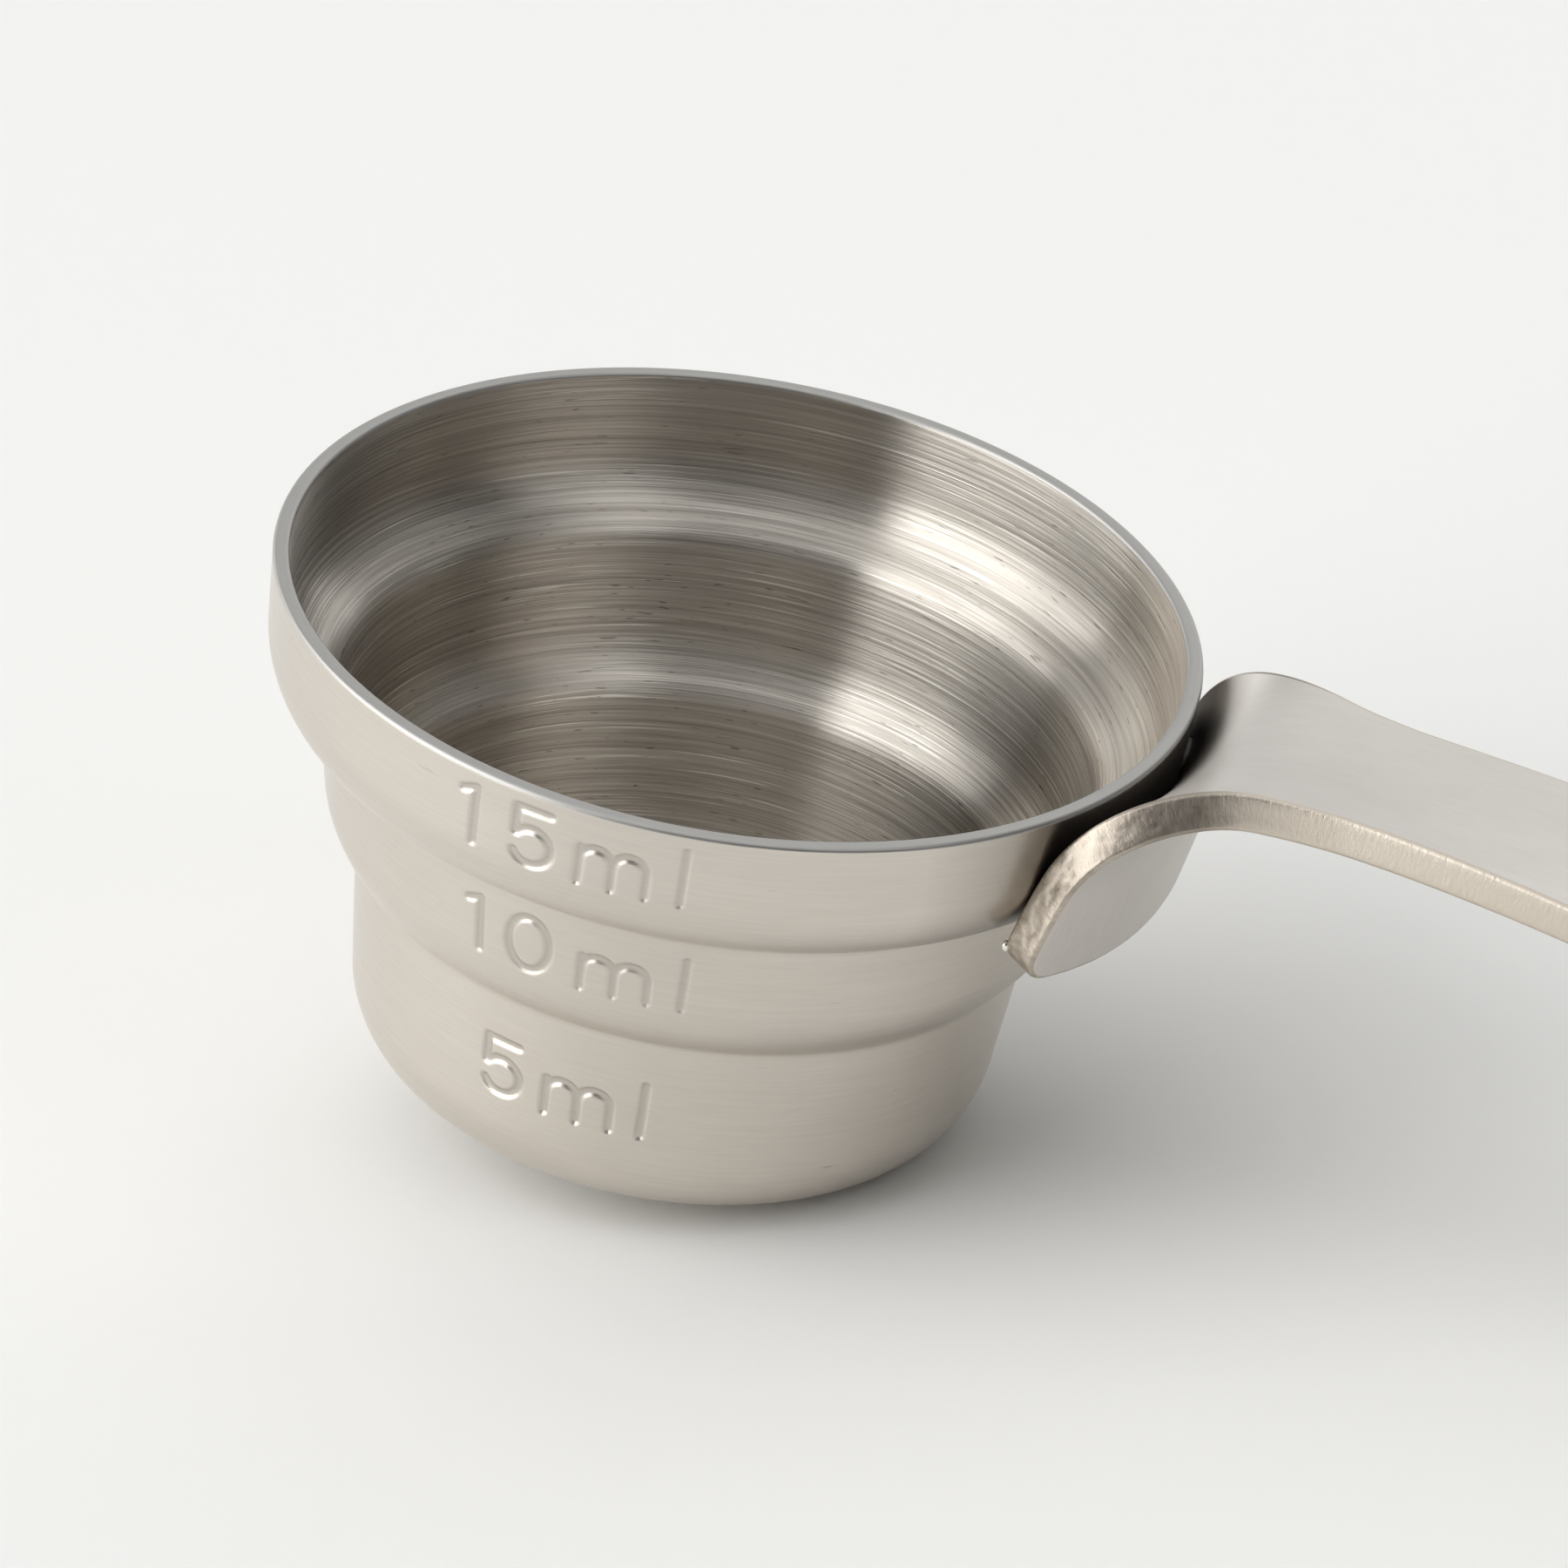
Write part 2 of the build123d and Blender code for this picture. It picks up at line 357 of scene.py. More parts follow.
# Azimuths in degrees from the handle, each with the spacing of the columns before it: close at the measures
COLUMNS = ((64.0, 2.0), (104.5, 0.3), (110.0, 1.0), (360.0, 2.0))


def cup_grid(s):
    """Closed sheet of even wall turned round the cup's axis, on a grid of outline length and azimuth.

    A point is base + front * r * cos(a) + side * r * sin(a) + up * h. Outside, (r, h) is the outline less the
    stamp's depth along the normal; over the rim it follows two quarter rounds; inside, it is the outline moved
    in by the wall. Rows and columns are close together only where a measure is stamped.
    """
    points, normals, lengths = cup_outline(s)
    top = lengths[-1]
    edge, wall = s.rim_edge, s.wall
    outer_stops = [(end * MM, step * MM) for end, step in OUTER_ROWS]
    outer_stops += [(top - 0.45 * MM, 0.085 * MM), (top - edge, 0.15 * MM)]
    inner_stops = [(end * MM, step * MM) for end, step in INNER_ROWS]
    inner_stops += [(top - edge, 0.6 * MM)]
    outer, inner = spaced([FIRST_ROW * MM, *outer_stops]), spaced([FIRST_ROW * MM, *inner_stops])[::-1]

    def at(run, values):
        """Points or normals of the outline at lengths along it."""
        return np.stack([np.interp(run, lengths, axis) for axis in values.T], 1)

    up = np.array([-normals[-1][1], normals[-1][0]])
    out = normals[-1]
    turn = np.radians(np.arange(15, 90, 15))[:, None]
    outer_round = points[-1] - up * edge - out * edge + edge * (np.cos(turn) * out + np.sin(turn) * up)
    inner_round = points[-1] - up * edge - out * (wall - edge) + edge * (np.sin(turn) * up - np.cos(turn) * out)
    flat = np.linspace(points[-1] - out * edge, points[-1] - out * (wall - edge), 4)
    inner_normals = at(inner, normals)
    inner_line = at(inner, points) - wall * inner_normals / np.hypot(*inner_normals.T)[:, None]
    line = np.vstack([at(outer, points), outer_round, flat, inner_round[::-1], inner_line])
    push = np.vstack([at(outer, normals), np.zeros((len(line) - len(outer), 2))])
    line_length = np.r_[0, np.cumsum(np.hypot(*np.diff(line, axis=0).T))]
    outer_rows, rim_rows = len(outer), len(outer_round) * 2 + len(flat)

    azimuth = spaced([0.0, *COLUMNS])[:-1]
    a = np.tile(azimuth, (len(line_length), 1))
    radius = np.repeat(line[:, :1], len(azimuth), 1)
    height = np.repeat(line[:, 1:], len(azimuth), 1)
    depth = np.zeros(a.shape)
    depth[:outer_rows] = stamped_depth(
        a[:outer_rows], np.repeat(outer[:, None], len(azimuth), 1), radius[:outer_rows], top, s
    )
    radius = radius - push[:, :1] * depth
    height = height - push[:, 1:] * depth
    turn = np.radians(a)
    verts = (
        CUP_BASE
        + CUP_FRONT * (radius * np.cos(turn))[..., None]
        + CUP_SIDE * (radius * np.sin(turn))[..., None]
        + CUP_UP * height[..., None]
    )
    return verts, azimuth, line_length, outer_rows, rim_rows, depth / s.stamp_depth


def grid_faces(rows, columns, first=0, closed=False):
    """Quads of a grid of rows by columns whose first vertex is first; closed joins the last column to the first."""
    index = first + np.arange(rows * columns).reshape(rows, columns)
    if closed:
        index = np.hstack([index, index[:, :1]])
    return np.stack([index[:-1, :-1], index[:-1, 1:], index[1:, 1:], index[1:, :-1]], -1).reshape(-1, 4)


class SPOON_OT_cup(bpy.types.Operator):
    """Make the pressed cup with its stamped measures"""

    bl_idname = "spoon.cup"
    bl_label = "Stamped cup"

    def execute(self, context):
        sizes = context.scene.spoon_cup
        verts, azimuth, lengths, outer_rows, rim_rows, stamp = cup_grid(sizes)
        rows, columns = verts.shape[:2]
        quads = grid_faces(rows, columns, closed=True)[:, ::-1]
        row_of = np.repeat(np.arange(rows - 1), columns)
        slots = np.where(row_of < outer_rows, 0, np.where(row_of < outer_rows + rim_rows - 1, 1, 2))
        base_pole, floor_pole = rows * columns, rows * columns + 1
        ring = np.arange(columns)
        last = ring + (rows - 1) * columns
        faces = quads.tolist()
        faces += np.stack([ring, np.full(columns, base_pole), np.roll(ring, -1)], 1)[:, ::-1].tolist()
        faces += np.stack([last, np.full(columns, floor_pole), np.roll(last, -1)], 1).tolist()
        slots = np.concatenate([slots, np.zeros(columns), np.full(columns, 2)])
        poles = np.array([CUP_BASE, CUP_BASE + CUP_UP * sizes.wall])
        every = np.vstack([verts.reshape(-1, 3), poles])
        materials = [outside_material(), rim_material(), inside_material()]
        cup = make_object("cup_shell", every, faces, materials, slots)
        # Spin: cosine and sine of the azimuth, and the length along the line in mm, for scratches that go round
        turn = np.radians(np.tile(azimuth, rows))
        run = np.repeat(lengths, columns) / MM
        spin = np.stack([np.cos(turn), np.sin(turn), run], 1)
        spin = np.vstack([spin, [[0, 0, 0], [0, 0, lengths[-1] / MM]]])
        add_values(cup, "spin", spin)
        # Stamp: the depth of the stamped measures as a share of the full depth
        add_values(cup, "stamp", np.r_[stamp.ravel(), 0, 0])
        # The map's U goes round and its V along the line, so that the tangent follows the scratches
        corner = np.empty(len(cup.data.loops), np.int32)
        cup.data.loops.foreach_get("vertex_index", corner)
        u = np.r_[np.tile(azimuth / 360, rows), 0.5, 0.5][corner]
        v = np.r_[run, 0.0, run[-1]][corner] / 100
        starts = np.empty(len(cup.data.polygons), np.int32)
        cup.data.polygons.foreach_get("loop_start", starts)
        totals = np.empty(len(cup.data.polygons), np.int32)
        cup.data.polygons.foreach_get("loop_total", totals)
        face_of = np.repeat(np.arange(len(starts)), totals)
        highest = np.maximum.reduceat(np.where(corner < rows * columns, u, 0), starts)
        wraps = (highest[face_of] > 0.9) & (u < 0.1)
        u = np.where(wraps, u + 1, u)
        pole_u = np.maximum.reduceat(np.where(corner < rows * columns, u, -1), starts)
        u = np.where(corner >= rows * columns, pole_u[face_of], u)
        add_map(cup, "turned", np.stack([u, v], 1))
        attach(cup, "root")
        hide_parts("cup")
        return {"FINISHED"}


# ---- strap


def strap_line(s, cup):
    """Upper face of the strap, side on, as a function of the run: point and direction in the cup's frame.

    A straight tab, a bend, a long arch and a straight end follow each other tangentially. Each arc of radius R
    that starts at p along d has its points at p + R (sin t) d + R (cos t - 1) n, with n to the left of d.
    """
    upper = np.array([cup.rim_radius - cup.upper_inset, cup.base_height + cup.middle_height])
    rim = np.array([cup.rim_radius, upper[1] + cup.upper_height])
    centre = round_centre(rim, cup.upper_angle, cup.upper_round, upper)
    tab_up = np.array([np.sin(s.tab_angle), np.cos(s.tab_angle)])
    tab_out = np.array([np.cos(s.tab_angle), -np.sin(s.tab_angle)])
    seat = centre + tab_out * (cup.upper_round + s.weld_gap)
    tab_top = seat + tab_up * s.tab_rise
    bend_turn = np.pi / 2 - s.tab_angle - s.strap_rise
    bend_run, arch_run = s.bend_radius * bend_turn, s.arch_radius * s.arch_turn

    def arc(point, heading, radius, length):
        """Place and heading after a length of an arc that turns clockwise, heading measured from the X axis."""
        turned = heading - length / radius
        left = np.stack([-np.sin(heading), np.cos(heading)], -1)
        left_after = np.stack([-np.sin(turned), np.cos(turned)], -1)
        return point - radius * left + radius * left_after, turned

    heading = np.pi / 2 - s.tab_angle
    bend_end, bend_heading = arc(tab_top, heading, s.bend_radius, bend_run)
    arch_end, arch_heading = arc(bend_end, bend_heading, s.arch_radius, arch_run)

    def place(run):
        run = np.asarray(run, float)
        past = run - bend_run
        last = past - arch_run
        bend_points, bend_headings = arc(tab_top, heading, s.bend_radius, run)
        arch_points, arch_headings = arc(bend_end, bend_heading, s.arch_radius, past)
        tab_points = tab_top + run[..., None] * tab_up
        end_points = arch_end + last[..., None] * np.array([np.cos(arch_heading), np.sin(arch_heading)])
        parts = (run <= 0, run <= bend_run, last <= 0)
        points = np.select([part[..., None] for part in parts], [tab_points, bend_points, arch_points], end_points)
        headings = np.select(parts, [np.full(run.shape, heading), bend_headings, arch_headings], arch_heading)
        return points, headings

    seat_radius = centre[0] + cup.upper_round * np.cos(s.tab_angle)
    roll = seat_radius / np.cos(s.tab_angle) + s.weld_gap
    return place, roll, s.tab_rise + s.tab_drop, bend_run + arch_run + s.straight_run


def strap_half_width(run, s, length):
    """Half of the width: a logistic flare from the tab to the neck, and sides that open slowly to the end."""
    flare = 1 / (1 + np.exp((run - s.flare_run) / s.flare_softness))
    opening = np.clip((run - s.neck_run) / (length - s.neck_run), 0, None)
    return s.neck_half + (s.tab_half - s.neck_half) * flare + (s.end_half - s.neck_half) * opening


# Length of the sheet's end round the hanging hole, as a multiple of the hole's inset
END_SHARE = 2.3

# Run over which the rows of the sheet go from the shape of the tab's end to straight across
TAB_SLIDE = 4 * MM

# Points along a corner of the tab, half of its bowed end and a corner of the strap's end, rows round the hole
CORNER_POINTS, BOW_POINTS, END_POINTS, HOLE_ROWS = 9, 19, 19, 8


def strap_sheet(s, length, tab_length):
    """Flat pattern of the upper face inside its rounded edges: points (across, run), quads and its two loops.

    The body is a grid whose columns are shares of the half width and whose first row follows the tab's bowed
    end and its round corners; the rows' runs slide from that end's shape to straight across within a few mm.
    The end is a ring of rays from the hanging hole to the outline.
    """
    e = s.edge
    bow_radius = (s.tab_half**2 + s.tab_bow**2) / (2 * s.tab_bow)
    corner = s.tab_corner - e
    tab_half = strap_half_width(-tab_length + s.tab_bow + s.tab_corner, s, length) - e
    # The bowed end and its corners, from the right side to the middle, as x and run
    reach = bow_radius - e
    corner_x = tab_half - corner
    corner_run = reach - np.sqrt((reach - corner) ** 2 - corner_x**2)
    touch = np.arctan2(corner_x, np.sqrt((reach - corner) ** 2 - corner_x**2))
    turn = np.linspace(0, np.pi / 2 - touch, CORNER_POINTS)[:, None]
    corner_arc = np.hstack([corner_x + corner * np.cos(turn), corner_run - corner * np.sin(turn)])
    swing = np.linspace(touch, 0, BOW_POINTS)[1:, None]
    bow = np.hstack([reach * np.sin(swing), reach - reach * np.cos(swing)])
    half_end = np.vstack([corner_arc, bow])
    end_row = np.vstack([half_end, (half_end * [-1, 1])[:-1][::-1]])[::-1]
    start_run = -tab_length + e + corner_run
    columns = len(end_row)

    body_end = length - s.hole_inset * END_SHARE
    runs = spaced([start_run, (0.0, 0.3 * MM), (0.016, 0.25 * MM), (0.034, 0.7 * MM), (body_end, 1.2 * MM)])
    slope = np.gradient(strap_half_width(runs, s, length), runs)
    half = strap_half_width(runs, s, length) - e * np.sqrt(1 + slope**2)
    share = end_row[:, 0] / tab_half
    fade = np.clip(1 - (runs - start_run) / TAB_SLIDE, 0, 1)
    fade = fade * fade * (3 - 2 * fade)
    x = half[:, None] * share[None]
    run = runs[:, None] + (end_row[:, 1] - corner_run)[None] * fade[:, None]
    body = np.stack([x, run], -1)

    # Outline of the end: right side, round corner, flat tip, and the same on the left, from the body's last row
    end_corner = s.end_corner - e
    tip = length - e
    side_end = tip - end_corner
    side_runs = spaced([body_end, (side_end, 0.9 * MM)])[1:]
    side_slope = np.gradient(strap_half_width(runs, s, length), runs)[-1]
    side_half = strap_half_width(side_runs, s, length) - e * np.sqrt(1 + side_slope**2)
    end_half = side_half[-1]
    turn = np.radians(np.linspace(0, 90, END_POINTS))[1:, None]
    round_off = np.hstack(
        [end_half - end_corner + end_corner * np.cos(turn), side_end + end_corner * np.sin(turn)]
    )
    right = np.vstack([np.stack([side_half, side_runs], 1), round_off])
    left = (right * [-1, 1])[::-1]
    outer = np.vstack([body[-1], right, left])
    centre = np.array([0.0, length - s.hole_inset])
    ray = outer - centre
    ray /= np.hypot(*ray.T)[:, None]
    hole = centre + ray * (HOLE_RADIUS + e)
    shares = np.linspace(0, 1, HOLE_ROWS)[:, None, None]
    ring = outer[None] * (1 - shares) + hole[None] * shares
    verts = np.vstack([body.reshape(-1, 2), ring.reshape(-1, 2)])
    first = body.shape[0] * columns
    # Rows run along the strap and columns from left to right, so these quads face up
    quads = np.vstack([
        grid_faces(body.shape[0], columns),
        grid_faces(ring.shape[0], len(outer), first, closed=True),
    ])
    right_side = body[1:-1, -1]
    left_side = body[1:-1, 0][::-1]
    outline = np.vstack([body[0], right_side, body[-1, -1:], right, left, body[-1, :1], left_side])
    return verts, quads, outline, hole


def loop_normals(loop):
    """Outward normals of a closed flat loop that goes anticlockwise: its direction turned to the right."""
    ahead, behind = np.roll(loop, -1, 0), np.roll(loop, 1, 0)
    step_ahead = (ahead - loop) / np.hypot(*(ahead - loop).T)[:, None]
    step_behind = (loop - behind) / np.hypot(*(loop - behind).T)[:, None]
    mean = step_ahead + step_behind
    mean /= np.hypot(*mean.T)[:, None]
    return np.stack([mean[:, 1], -mean[:, 0]], 1)


def welded(verts, faces):
    """Vertices within about 20 nanometres of each other made one, faces renumbered, and which were kept."""
    key = np.round(verts / 2e-8).astype(np.int64)
    _, keep, number = np.unique(key, axis=0, return_index=True, return_inverse=True)
    return verts[keep], number.ravel()[faces], keep


class SPOON_OT_strap(bpy.types.Operator):
    """Make the strap handle with its rolled tab, rounded edges and hanging hole"""

    bl_idname = "spoon.strap"
    bl_label = "Strap handle"

    def execute(self, context):
        s, cup = context.scene.spoon_strap, context.scene.spoon_cup
        place, roll, tab_length, length = strap_line(s, cup)
        flat, quads, outline, hole = strap_sheet(s, length, tab_length)
        e, t = s.edge, s.thickness
        # Rounded edge: out and down a quarter round, down the side, and in again, as (out, depth)
        quarter = np.radians(np.linspace(0, 90, 6))
        steps = np.vstack(
            [
                np.stack([e * np.sin(quarter), e * (1 - np.cos(quarter))], 1),
                np.stack([np.full(4, e), np.linspace(e, t - e, 6)[1:-1]], 1),
                np.stack([e * np.cos(quarter), t - e + e * np.sin(quarter)], 1),
            ]
        )
        parts, faces, slots, first = [], [], [], 0
        for depth, turned in ((0.0, 1), (t, -1)):
            parts.append(np.hstack([flat, np.full((len(flat), 1), depth)]))
            faces.append(quads[:, ::turned] + first)
            slots.append(np.zeros(len(quads)))
            first += len(flat)
        for loop in (outline, hole[::-1]):
            outward = loop[None] + steps[:, :1, None] * loop_normals(loop)[None]
            downward = np.broadcast_to(steps[:, 1:, None], (len(steps), len(loop), 1))
            band = np.concatenate([outward, downward], -1)
            parts.append(band.reshape(-1, 3))
            made = grid_faces(len(steps), len(loop), first, closed=True)[:, ::-1]
            faces.append(made)
            slots.append(np.ones(len(made)))
            first += band.shape[0] * band.shape[1]
        sheet, faces, slots = np.vstack(parts), np.vstack(faces), np.concatenate(slots)
        across, run, depth = sheet.T
        fade = np.clip(1 - run / s.roll_fade, 0, 1)
        bend = fade * fade * (3 - 2 * fade) / roll
        points, heading = place(run)
        # Rolled section: across and out of the face, on the circle of curvature bend
        half = bend * across / 2
        lift = bend * across**2 / 2 * np.sinc(half / np.pi) ** 2
        wide = across * np.sinc(bend * across / np.pi) + depth * np.sin(bend * across)
        out = lift - depth * np.cos(bend * across)
        up_x, up_z = -np.sin(heading), np.cos(heading)
        side_on = points + np.stack([up_x * out, up_z * out], 1)
        verts = CUP_BASE + CUP_FRONT * side_on[:, :1] + CUP_UP * side_on[:, 1:] + CUP_SIDE * wide[:, None]
        verts, faces, keep = welded(verts, faces)
        # Rays that meet at the hole leave triangles there, or nothing
        doubled = (np.diff(np.sort(faces, 1), axis=1) == 0).sum(1)
        polygons = [list(dict.fromkeys(face)) for face in faces[doubled < 2].tolist()]
        materials = [strap_material(), edge_material()]
        strap = make_object("handle_strap", verts, polygons, materials, slots[doubled < 2])
        corner = np.empty(len(strap.data.loops), np.int32)
        strap.data.loops.foreach_get("vertex_index", corner)
        add_map(strap, "flat", np.stack([run[keep], across[keep]], 1)[corner] * 10)
        # Sheet: run, place across and depth under the upper face in mm, for lines along the strap
        add_values(strap, "sheet", np.stack([run[keep], across[keep], depth[keep]], 1) / MM)
        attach(strap, "root")
        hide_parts("handle")
        return {"FINISHED"}


class SPOON_OT_bead(bpy.types.Operator):
    """Make the small bead of weld metal at the near lower corner of the tab, coloured near white as a painted glint
    """

    bl_idname = "spoon.bead"
    bl_label = "Weld bead"

    def execute(self, context):
        s, cup = context.scene.spoon_strap, context.scene.spoon_cup
        place, roll, tab_length, _ = strap_line(s, cup)
        point, heading = place(s.bead_height - tab_length)
        # The bead's centre is a little inside the tab's side, so that it sticks to it
        turn = (s.tab_half - 0.8 * s.bead_size) / roll
        side_on = point + roll * (1 - np.cos(turn)) * np.array([-np.sin(heading), np.cos(heading)])
        centre = CUP_BASE + CUP_FRONT * side_on[0] + CUP_UP * side_on[1] + CUP_SIDE * roll * np.sin(turn)
        # Ball of polar angle t and azimuth f, drawn out along the cup
        rings, around, stretch = 15, 24, 1.4
        polar = np.linspace(0, np.pi, rings + 2)[1:-1]
        t, f = np.meshgrid(polar, np.linspace(0, 2 * np.pi, around, endpoint=False), indexing="ij")
        ball = np.stack([np.sin(t) * np.cos(f), np.sin(t) * np.sin(f), stretch * np.cos(t)], -1).reshape(-1, 3)
        ball = np.vstack([ball, [[0, 0, stretch], [0, 0, -stretch]]]) * s.bead_size / 2
        verts = centre + ball @ np.stack([CUP_FRONT, -CUP_SIDE, CUP_UP])
        ring, low_ring = np.arange(around), (rings - 1) * around
        top = np.stack([np.full(around, rings * around), ring, np.roll(ring, -1)], 1)
        bottom = np.stack([np.full(around, rings * around + 1), low_ring + np.roll(ring, -1), low_ring + ring], 1)
        faces = grid_faces(rings, around, closed=True)[:, ::-1].tolist() + top.tolist() + bottom.tolist()
        # The bead is weld metal, and its near-white colour is a painted glint
        bead = make_object("weld_bead", verts, faces, [weld_material("weld_metal_painted_glint", "EFECE6", 0.15, 0.3)])
        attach(bead, "root")
        return {"FINISHED"}


class SPOON_OT_welds(bpy.types.Operator):
    """Give the spot welds a dark, dull finish: heat oxide, and painted shade in the gap between the rim and the
    strap
    """

    bl_idname = "spoon.welds"
    bl_label = "Welds"

    def execute(self, context):
        pads = bpy.data.objects["spot_welds"]
        # Dark and dull: heat oxide, and painted shade in the gap between the rim and the strap
        material = weld_material("weld_oxide_and_gap_shade", "5A5450", 0.4, 0.55)
        pads.data.materials.clear()
        pads.data.materials.append(material)
        return {"FINISHED"}


# ---- materials


# Settings that many nodes share
NOISE = {"noise_dimensions": "4D", "Scale": 1.0}
TIMES = {"operation": "MULTIPLY"}
COLOURS = {"data_type": "RGBA"}


def outside_material():
    """Spun stainless steel, brushed round on the outside with a fine belt: a satin sheet with faint lines."""
    finish = bpy.context.scene.spoon_finish
    rows = [
        ("spin", "Attribute", {"attribute_name": "spin"}, {}),
        # Belt lines 0.1 mm apart and some 5 mm long, drawn about twice as coarse as real to show
        ("lines_at", "VectorMath", {**TIMES, 1: (4.0, 4.0, 9.0)}, {0: ("spin", 1)}),
        ("lines", "TexNoise", {**NOISE, "Detail": 3.0, "Roughness": 0.6}, {"Vector": "lines_at"}),
        # Soft clouds 7 mm long and 3 mm wide, where the belt pressed more or less
        ("cloud_at", "VectorMath", {**TIMES, 1: (2.5, 2.5, 0.3)}, {0: ("spin", 1)}),
        ("cloud", "TexNoise", {**NOISE, "Detail": 2.0, "Roughness": 0.6}, {"Vector": "cloud_at"}),
        # Dark marks 1.5 mm long, where the belt dug in
        ("marks_at", "VectorMath", {**TIMES, 1: (12.0, 12.0, 5.0)}, {0: ("spin", 1)}),
        ("marks", "TexNoise", {**NOISE, "W": 4.0, "Detail": 2.0, "Roughness": 0.5}, {"Vector": "marks_at"}),
        ("lines_share", "MapRange", {"From Min": 0.3, "From Max": 0.7, "To Max": 0.16}, {"Value": "lines"}),
        ("marks_share", "MapRange", {"From Min": 0.7, "From Max": 0.8, "To Max": 0.35}, {"Value": "marks"}),
        ("clouded", "Mix", {**COLOURS, 6: linear("D3CBC2"), 7: linear(finish.steel)}, {0: "cloud"}),
        ("lined", "Mix", {**COLOURS, 7: linear("A8A29A")}, {0: "lines_share", 6: ("clouded", 2)}),
        ("marked", "Mix", {**COLOURS, 7: linear("85807A")}, {0: "marks_share", 6: ("lined", 2)}),
        # Painted shade of the tab: darker on the upper tier beside the tab, which is at the angle whose cosine is 1
        ("place", "SeparateXYZ", {}, {0: ("spin", 1)}),
        ("near_tab", "MapRange", {"From Min": 0.74, "From Max": 0.92, "To Max": 0.6}, {"Value": "place"}),
        ("upper_tier", "MapRange", {"From Min": 28.6, "From Max": 30.6}, {"Value": ("place", 2)}),
        ("painted_shade_share", "Math", TIMES, {0: "near_tab", 1: "upper_tier"}),
        ("tab_shaded", "Mix", {**COLOURS, 7: linear("7E766D")}, {0: "painted_shade_share", 6: ("marked", 2)}),
        # Painted shade in the stamped measures: the floors of their strokes are darker
        ("stamp", "Attribute", {"attribute_name": "stamp"}, {}),
        (
            "stamp_shade_share",
            "MapRange",
            {"From Min": 0.25, "From Max": 0.9, "To Max": 0.2},
            {"Value": ("stamp", 2)},
        ),
        ("tint", "Mix", {**COLOURS, 7: linear("635D55")}, {0: "stamp_shade_share", 6: ("tab_shaded", 2)}),
        (
            "roughness",
            "MapRange",
            {"From Min": 0.25, "From Max": 0.75, "To Min": 0.29, "To Max": 0.36},
            {"Value": "lines"},
        ),
        ("relief", "Bump", {"Distance": 0.01 * MM}, {"Height": "lines"}),
        ("tangent", "Tangent", {"direction_type": "UV_MAP", "uv_map": "turned"}, {}),
        (
            "metal",
            "BsdfPrincipled",
            {"Metallic": 1.0, "Anisotropic": 0.55, "Anisotropic Rotation": 0.25},
            {"Base Color": ("tint", 2), "Roughness": "roughness", "Normal": "relief", "Tangent": "tangent"},
        ),
    ]
    return new_material("fine_brushed_stainless_outside", rows)


def rim_material():
    """Stainless steel, faced and deburred on the rim: smooth and even, a little darker than the walls."""
    rows = [
        ("spin", "Attribute", {"attribute_name": "spin"}, {}),
        # Grain 1.5 mm long and 0.2 mm wide round the rim
        ("grain_at", "VectorMath", {**TIMES, 1: (12.0, 12.0, 6.0)}, {0: ("spin", 1)}),
        ("grain", "TexNoise", {**NOISE, "Detail": 3.0, "Roughness": 0.6}, {"Vector": "grain_at"}),
        ("tint", "Mix", {**COLOURS, 6: linear("A3A29F"), 7: linear("B5B4B1")}, {0: "grain"}),
        (
            "roughness",
            "MapRange",
            {"From Min": 0.2, "From Max": 0.8, "To Min": 0.4, "To Max": 0.48},
            {"Value": "grain"},
        ),
        ("metal", "BsdfPrincipled", {"Metallic": 1.0}, {"Base Color": ("tint", 2), "Roughness": "roughness"}),
    ]
    return new_material("faced_stainless_rim", rows)


